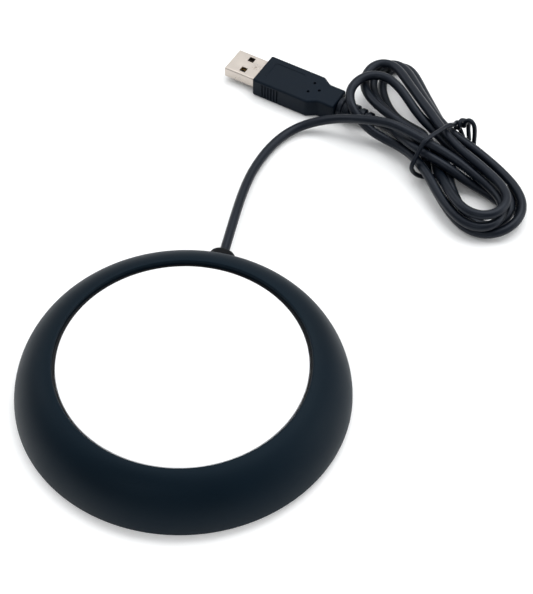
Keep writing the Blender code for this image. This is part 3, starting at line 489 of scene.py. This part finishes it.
def ring_shell(look, boss_top):
    """The domed ring with its lip, skirt, screw bosses and the grommet's seat."""
    found = spots("top_shell")
    low, top = float(found[:, 2].min()), float(found[:, 2].max())
    widest = found[np.argmax(np.hypot(found[:, 0], found[:, 1]))]
    base_r, base_z = float(np.hypot(widest[0], widest[1])), float(widest[2])
    lip_r = radii_between("top_shell", top - 1, top + 1)[0]
    foot_in, foot_out = radii_between("top_shell", low - 0.1, low + 0.1)
    rib_r = extent("heating_plate")[1].x + 0.4
    lip_under, lip_round = top - LIP_THICK, 0.5
    rib_low = lip_under - RIB_DROP
    lip = [(lip_r + lip_round * (1 - math.cos(a)), top - lip_round * (1 - math.sin(a)))
           for a in np.linspace(0, math.pi / 2, 7)][:-1]
    skirt = softened([(base_r, base_z), (base_r - SKIRT_IN, SKIRT_Z), (foot_out, low),
                      (foot_in, low), (foot_in, base_z)], [0, 2.0, 0.35, 0.2, 0])[1:-1]
    inside = dome(lip_r + 4, base_r - WALL, base_z, top - WALL, 14)[::-1]
    profile = (lip + dome(lip_r + lip_round, base_r, base_z, top, 56) + skirt + inside
               + [(lip_r + 4, rib_low), (rib_r, rib_low), (rib_r, lip_under), (lip_r, lip_under)])
    bosses, pilots = [], []
    plate_boss_low = extent("pressure_plate")[1].z + GAP
    for screws, count, boss_low in (("base_screw_", 4, BASE_BOSS_LOW),
                                    ("plate_screw_", 3, plate_boss_low)):
        height = boss_top - boss_low
        depth = min(PILOT_DEPTH, height - 0.6)
        for number in range(1, count + 1):
            centre = middle(f"{screws}{number}")
            bosses.append(rod(BOSS_R, height, (centre.x, centre.y, boss_low + height / 2)))
            pilots.append(rod(PILOT_R, depth + 2, (centre.x, centre.y, boss_low + depth / 2 - 1)))
    exit_x, exit_y, exit_z = Vector(JOINTS["cord_swing"]["pos_m"]) / MM
    hole, seat = (rod(radius, exit_y - start, (exit_x, (exit_y + start) / 2, exit_z), MEDIUM, "X")
                  for radius, start in ((HOLE_R, HOLE_START), (SEAT_R, SEAT_START)))
    mesh = carved(turned("ring_shell", profile, joined=True), ("UNION", bosses),
                  ("DIFFERENCE", pilots), ("DIFFERENCE", [hole]), ("DIFFERENCE", [seat]))
    piece("ring_shell", mesh, look, ["top_shell"], "base", flat=True)


def hot_plate(look):
    """The white plate: a flat disc with a softly rounded edge, on a flange with a low rim."""
    high = extent("heating_plate")[1]
    top, flange_r, rim_r = high.z, high.x, 41.0
    plate_r = radii_between("heating_plate", top - 0.6, top - 0.4)[1]
    flange_low, flange_top = heights_between("heating_plate", flange_r - 0.5, flange_r + 0.5)
    under = heights_between("heating_plate", rim_r - 1, rim_r + 0.5)[1]
    corners = [(0, top), (plate_r * 0.5, top), (plate_r, top), (plate_r, flange_top),
               (flange_r, flange_top), (flange_r, flange_low), (rim_r, flange_low),
               (rim_r - 0.3, under), (0, under)]
    profile = softened(corners, [0, 0, 0.55, 0.25, 0.15, 0.15, 0.15, 0.4, 0], 6)
    piece("hot_plate", turned("hot_plate", profile), look, ["heating_plate"], "base")


def grommet(look):
    """Domed strain relief in the wall; its bell mouth lets the cord swing."""
    corners = [(2.9, -0.6), (3.9, -0.8), (4.7, -1.5), (5.0, -2.4), (5.0, -4.9), (3.3, -4.9),
               (3.3, -8.2), (4.3, -8.2), (4.3, -9.5), (2.05, -9.5), (2.05, -2.0)]
    rounds = [0.25, 0.8, 1.0, 0.8, 0.12, 0.1, 0.2, 0.25, 0.25, 0.1, 1.2]
    profile = softened(corners, rounds, 5, closed=True)
    mesh = laid_along(turned("cord_grommet", profile, MEDIUM, joined=True), "Y")
    place = Matrix.Translation(Vector(JOINTS["cord_swing"]["pos_m"]))
    piece("cord_grommet", mesh, look, ["grommet"], "base", place)


def bottom_cover(look):
    """The underside's cover: screw wells, foot seats, posts and a shallow blank recess."""
    low, high = extent("base_cover")
    cover_r, under = high.x, low.z
    deck = heights_between("base_cover", cover_r - 0.5, cover_r + 0.5)[1] + 0.3
    groove_r, groove, seat_cut = 34.0, 0.35, 1.8     # half of a seat's cut is in the cover
    corners = [(0, deck), (cover_r, deck), (cover_r, under), (groove_r + 1.2, under),
               (groove_r + 0.7, under + groove), (groove_r, under + groove),
               (groove_r - 0.5, under), (0, under)]
    profile = softened(corners, [0, 0.35, 0.35, 0.2, 0.1, 0.1, 0.2, 0])
    clamp_y, board_y, pin_x = middle("cord_clamp").y, middle("terminal_board").y, 10.4
    clamp_x, exit_x = abs(middle("clamp_screw_1").x), JOINTS["cord_swing"]["pos_m"][0] / MM
    posts = [block((5.0, 4.0, 1.4), (0, clamp_y, deck + 0.55))]
    pins, holes, seats, wells = [], [], [], []
    for side in (-1, 1):
        posts.append(rod(1.9, 5.2, (side * clamp_x, clamp_y, deck + 2.5)))
        posts.append(rod(2.0, 2.4, (side * pin_x, board_y, deck + 1.1)))
        pins.append(rod(0.8, 3.4, (side * pin_x, board_y, deck + 3.4)))
        holes.append(rod(1.1, 5.2, (side * clamp_x, clamp_y, deck + 3.4)))
    for number in range(1, 5):
        foot, screw = middle(f"foot_{number}"), middle(f"base_screw_{number}")
        seat_r = extent(f"foot_{number}")[1].x - foot.x + GAP
        seats.append(rod(seat_r, seat_cut, (foot.x, foot.y, under), MEDIUM))
        wells.append(rod(2.7, 2.6, (screw.x, screw.y, under), MEDIUM))
        holes.append(rod(1.3, 8, (screw.x, screw.y, under)))
    seats.append(rod(extent("centre_pad")[1].x + GAP, seat_cut, (0, 0, under), FINE // 2))
    seats.append(pad(21, 9, 0.6, 1.6, (0, -25.5, under)))
    notch = block((11, 4.4, 6), (exit_x, 53, under + 1))
    mesh = carved(turned("bottom_cover", profile), ("UNION", posts), ("UNION", pins),
                  ("DIFFERENCE", seats + wells + [notch]), ("DIFFERENCE", holes))
    piece("bottom_cover", mesh, look, ["base_cover"], "base", sharp=28, flat=True)


def feet(look):
    """Rubber feet with a ring groove, and the middle pad with anti-slip ribs."""
    for name, groove_radii, steps in [(f"foot_{n}", (2.6,), MEDIUM) for n in range(1, 5)] + [
            ("centre_pad", (3.5, 6.0, 8.5, 11.0), FINE // 2)]:
        low, high = extent(name)
        centre, radius = middle(name), (high.x - low.x) / 2
        corners = [(0, high.z), (radius, high.z), (radius, low.z)]
        rounds = [0, 0.12, 0.32]
        for groove_r in sorted(groove_radii, reverse=True):
            corners += [(groove_r + 0.5, low.z), (groove_r + 0.35, low.z + 0.3),
                        (groove_r - 0.35, low.z + 0.3), (groove_r - 0.5, low.z)]
            rounds += [0.1, 0.1, 0.1, 0.1]
        profile = softened(corners + [(0, low.z)], rounds + [0], 3)
        place = Matrix.Translation(Vector((centre.x, centre.y, 0)) * MM)
        piece("rubber_" + name, turned(name, profile, steps), look, [name], "base", place)


def base_screws(look):
    """Pan-head screws in the cover's wells, with a cross recess."""
    for number in range(1, 5):
        name = f"base_screw_{number}"
        low, high = extent(name)
        centre, head_r = middle(name), (high.x - low.x) / 2
        head_h, shank_r, length = 0.9, 0.9, high.z - low.z
        corners = [(0, length), (shank_r * 0.4, length), (shank_r, length - 1.0),
                   (shank_r, head_h), (head_r, head_h), (head_r, 0.35), (head_r * 0.75, 0), (0, 0)]
        profile = softened(corners, [0, 0.1, 0.2, 0.1, 0.15, 0.3, 0.8, 0], 5)
        yaw, slot_size = 23.0 * number, (head_r * 1.25, 0.5, 1.1)
        slots = [("DIFFERENCE", [block(slot_size, (0, 0, 0), yaw=yaw + turn)]) for turn in (0, 90)]
        mesh = carved(turned(name, profile, MEDIUM), *slots)
        place = Matrix.Translation(Vector((centre.x, centre.y, low.z)) * MM)
        piece("cross_" + name, mesh, look, [name], "base", place, sharp=28)


# ---------------------------------------------------------------- cord and tie

def power_cord(look, hinge, forward):
    """One smooth round cord through the frame cord's ring centres, from the grommet to the plug."""
    pivot = Vector(JOINTS["cord_swing"]["pos_m"]) / MM
    rings = tube_centres("power_cord", 8, CORD_R, near=pivot - Vector((0, 7, 0)))
    stub_rings = 2                       # the frame cord's narrowed rings inside the grommet
    path = [pivot - Vector((0, 2, 0))] + rings[stub_rings:] + [hinge + forward * 0.9]
    mesh = tube("round_cord", eased(smooth_path([tuple(p) for p in path], 0.9), 8), CORD_R, 24)
    cord = piece("round_cord", mesh, look, ["power_cord"])
    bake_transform(cord)


def wire_tie(look):
    """The coated wire with its twisted knot, smoothed through the frame wire's ring centres."""
    path = smooth_path([tuple(p) for p in tube_centres("wire_tie", 6, TIE_R)], 0.4)
    piece("twisted_tie", tube("twisted_tie", path, TIE_R, 16), look, ["wire_tie"], "tie")


# ---------------------------------------------------------------- plug

def plug_axes():
    """The plug's own axes: origin where it flexes on the cord, +X to its tip."""
    ahead = Vector(MOUNTS["plug_tip"]["axis"])
    turn = Matrix.Rotation(math.atan2(ahead.y, ahead.x), 4, "Z")
    return Matrix.Translation(Vector(JOINTS["plug_swing"]["pos_m"])) @ turn


def overmould(look, axes):
    """The moulded grip: rounded edges, side ribs, three dimples and a shallow blank panel."""
    low, high = extent("plug_overmould", axes)
    front, half, half_h = high.x, high.y, high.z
    outline = [(front, half), (front - BODY_LENGTH, half), (front - SHOULDER_END, NECK_HALF),
               (low.x, NECK_HALF)]
    outline += [(x, -y) for x, y in reversed(outline)]
    bm = bmesh.new()
    face = bm.faces.new([bm.verts.new(Vector((x, y, -half_h)) * MM) for x, y in outline])
    grown = bmesh.ops.extrude_face_region(bm, geom=[face])
    tops = [item for item in grown["geom"] if isinstance(item, bmesh.types.BMVert)]
    bmesh.ops.translate(bm, vec=(0, 0, 2 * half_h * MM), verts=tops)
    bmesh.ops.recalc_face_normals(bm, faces=bm.faces)
    round_edges(bm, 0.85, 6)
    shell_low, shell_high = extent("plug_shell", axes)
    pocket_depth = front - shell_low.x + POCKET_SPARE
    pocket = block((pocket_depth + 2, shell_high.y * 2 + 2 * GAP, shell_high.z * 2 + 2 * GAP),
                   (front + 1 - pocket_depth / 2, 0, 0))
    channel = rod(CORD_BORE, 30, (front - 26, 0, 0), MEDIUM, "Y")
    ribs = [block((0.55, 1.1, half_h * 1.5), (front - GRIP_START - GRIP_PITCH * k, side * half, 0),
                  0.16) for k in range(GRIP_RIBS) for side in (-1, 1)]
    dots = [rod(0.6, 1.6, (front - back, y, half_h), 24) for back, y in DIMPLES]
    panel = pad(13.6, 9.6, 0.24, 1.3, (front - 10.4, 0, half_h))
    mesh = carved(mesh_from(bm, "grip"), ("DIFFERENCE", [pocket]), ("DIFFERENCE", [channel]),
                  ("DIFFERENCE", ribs + dots + [panel]))
    piece("plug_grip", mesh, look, ["plug_overmould"], "plug", axes, sharp=28, flat=True)


def boot(look, axes):
    """Ringed strain relief between the cord and the plug, with the cord inside it."""
    low, high = extent("plug_boot", axes)
    back, front_r, end_r, groove = high.x, high.z, 2.7, 0.8
    pitch = (back - low.x - 0.3) / BOOT_RINGS
    corners, rounds = [], []
    for ring in range(BOOT_RINGS):
        edge = back - ring * pitch
        radius = front_r + (end_r - front_r) * ring / (BOOT_RINGS - 1)
        corners += [(radius, edge), (radius, edge - pitch * 0.6),
                    (radius - groove, edge - pitch * 0.7), (radius - groove, edge - pitch + 0.02)]
        rounds += [0.35, 0.45, 0.2, 0.15]
    corners += [(end_r - 0.4, low.x), (CORD_BORE, low.x), (CORD_BORE, back)]
    rounds += [0.3, 0.15, 0.1]
    profile = softened(corners, rounds, 4, closed=True)
    dense = []
    for a, b in zip(profile, profile[1:] + profile[:1]):
        cuts = max(1, int(abs(b[1] - a[1]) / 0.8))
        dense += [(a[0] + (b[0] - a[0]) * k / cuts, a[1] + (b[1] - a[1]) * k / cuts)
                  for k in range(cuts)]
    mesh = laid_along(turned("ringed_boot", dense, MEDIUM, joined=True), "X")
    made = piece("ringed_boot", mesh, look, ["plug_boot"], place=axes)
    tail_low, tail_high = extent("plug_cord_tail", axes)
    path = [(x, 0, 0) for x in np.linspace(tail_low.x, tail_high.x, 40)]
    tail = piece("plug_cord_end", tube("plug_cord_end", path, CORD_R, 24), look,
                 ["plug_cord_tail"], place=axes)
    for bending in (made, tail):
        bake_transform(bending)


def connector_shell(look, axes):
    """The folded metal shell: round corners, a turned-in mouth, windows, a crimp and a seam."""
    low, high = extent("plug_shell", axes)
    front = extent("plug_overmould", axes)[1].x
    width, height, wall, corner = high.y - low.y, high.z - low.z, SHELL_WALL, SHELL_CORNER

    def ring(x, inset, radius):
        outline = rounded_rectangle(width - 2 * inset, height - 2 * inset, radius, 5)
        return [(x, y, z) for y, z in outline]

    tip = high.x
    rings = [ring(low.x, 0, corner), ring(front - 0.5, 0, corner), ring(tip - 0.2, 0, corner),
             ring(tip - 0.06, 0.05, 0.8), ring(tip, 0.13, 0.72), ring(tip, wall - 0.06, 0.4),
             ring(tip - 0.1, wall, 0.36), ring(low.x, wall, 0.36)]
    windows = [pad(WINDOW, WINDOW, height + 2, 0.22,
                   (front + WINDOW_FORWARD, side * WINDOW_SIDE, 0)) for side in (-1, 1)]
    crimp = pad(0.5, 1.3, 0.44, 0.15, (front + CRIMP_FORWARD, 0, height / 2))
    seam = block((tip - low.x + 2, 0.12, 0.3), ((tip + low.x) / 2, 0, -height / 2))
    mesh = carved(skin("connector_shell", rings, joined=True),
                  ("DIFFERENCE", windows + [crimp, seam]))
    piece("connector_shell", mesh, look, ["plug_shell"], "plug", axes, sharp=50, flat=True)


# ---------------------------------------------------------------- studio

def floor():
    """A pale floor, glowing faintly in front of the object to keep its shadow there light."""
    bm = bmesh.new()
    bmesh.ops.create_grid(bm, x_segments=8, y_segments=8, size=3.0)
    sheet = bpy.data.objects.new("floor", mesh_from(bm, "floor"))
    bpy.context.scene.collection.objects.link(sheet)
    sheet.location.z = -0.02 * MM
    look = finish_look("floor", (0.92, 0.925, 0.925), 0.75, specular=0.1, tint=0.004, cloud=300,
                       grain=2.0, depth=0.001, Emission_Color=(1, 1, 1, 1))
    tree = look.node_tree
    place = node(tree, "SeparateXYZ", Vector=node(tree, "TexCoord").outputs["Object"])
    glow = node(tree, "MapRange", Value=place.outputs["Y"], From_Min=-0.055, From_Max=0.03,
                To_Min=0.27, To_Max=0.0)
    strength = tree.nodes["Principled BSDF"].inputs["Emission Strength"]
    tree.links.new(glow.outputs["Result"], strength)
    sheet.data.materials.append(look)


def softbox(name, at, aim, size, power):
    """A rectangular soft light at a point in metres, aimed at another; power is in watts."""
    lamp = bpy.data.lights.new(name, "AREA")
    lamp.shape, lamp.size, lamp.size_y = "RECTANGLE", *size
    lamp.energy = power
    box = bpy.data.objects.new(name, lamp)
    bpy.context.scene.collection.objects.link(box)
    box.location = at
    box.rotation_euler = (Vector(aim) - Vector(at)).to_track_quat("-Z", "Y").to_euler()


def studio():
    """A pale room, brighter behind and above the object, with four large soft lights."""
    world = bpy.data.worlds.new("studio")
    bpy.context.scene.world = world
    world.use_nodes = True
    tree = world.node_tree
    sky = node(tree, "TexCoord").outputs["Generated"]
    facing = node(tree, "VectorMath", {"operation": "DOT_PRODUCT"})
    tree.links.new(sky, facing.inputs[0])
    facing.inputs[1].default_value = Vector((0.15, 0.75, 0.65)).normalized()
    glow = node(tree, "MapRange", Value=facing.outputs["Value"], From_Min=-0.35, From_Max=0.9,
                To_Min=0.35, To_Max=1.0)
    background = tree.nodes["Background"]
    background.inputs["Color"].default_value = (0.97, 0.985, 1.0, 1)
    tree.links.new(glow.outputs["Result"], background.inputs["Strength"])
    softbox("overhead", (0.25, 0.45, 1.1), (0.02, 0.06, 0), (1.1, 0.9), 9.0)
    softbox("side", (-0.9, 0.3, 0.8), (0, 0.05, 0), (0.7, 0.9), 3.5)
    softbox("rim", (0.9, 0.2, 0.35), (0, 0.02, 0), (0.5, 0.6), 2.2)
    softbox("fill", (-0.15, -0.75, 0.62), (0, 0.1, 0), (0.5, 0.4), 1.2)
    bpy.context.scene.view_settings.view_transform = "Standard"


def camera():
    lens = bpy.data.cameras.new("camera")
    lens.lens, lens.sensor_width = CAMERA_LENS, 36.0
    lens.clip_start, lens.clip_end = 0.01, 20.0
    made = bpy.data.objects.new("camera", lens)
    bpy.context.scene.collection.objects.link(made)
    turn = (Matrix.Rotation(math.radians(CAMERA_AZIMUTH), 4, "Z")
            @ Matrix.Rotation(math.radians(CAMERA_TILT), 4, "X")
            @ Matrix.Rotation(math.radians(CAMERA_ROLL), 4, "Z"))
    made.matrix_world = Matrix.Translation(CAMERA_AT) @ turn
    bpy.context.scene.camera = made


def main():
    looks = make_looks()
    dress_frame(looks)
    plate_r = extent("heating_plate")[1].x
    flange_top = heights_between("heating_plate", plate_r - 0.5, plate_r + 0.5)[1]
    boss_top = flange_top - 1.3          # how high the ring's screw bosses reach
    ring_shell(looks["soft_black"], boss_top)
    hot_plate(looks["white_enamel"])
    grommet(finish_look("black_pvc", (0.0012, 0.002, 0.003), 0.6, specular=0.1, tint=0.12, cloud=6,
                        grain=0.15, depth=0.005))
    bottom_cover(looks["hard_black"])
    feet(looks["black_silicone"])
    base_screws(looks["zinc_steel"])
    axes = plug_axes()
    hinge = axes.translation / MM
    forward = axes.to_3x3() @ Vector((1, 0, 0))
    power_cord(looks["black_pvc"], hinge, forward)
    wire_tie(looks["black_pvc"])
    overmould(looks["hard_black"], axes)
    boot(looks["black_pvc"], axes)
    connector_shell(looks["nickel"], axes)
    floor()
    studio()
    camera()


main()
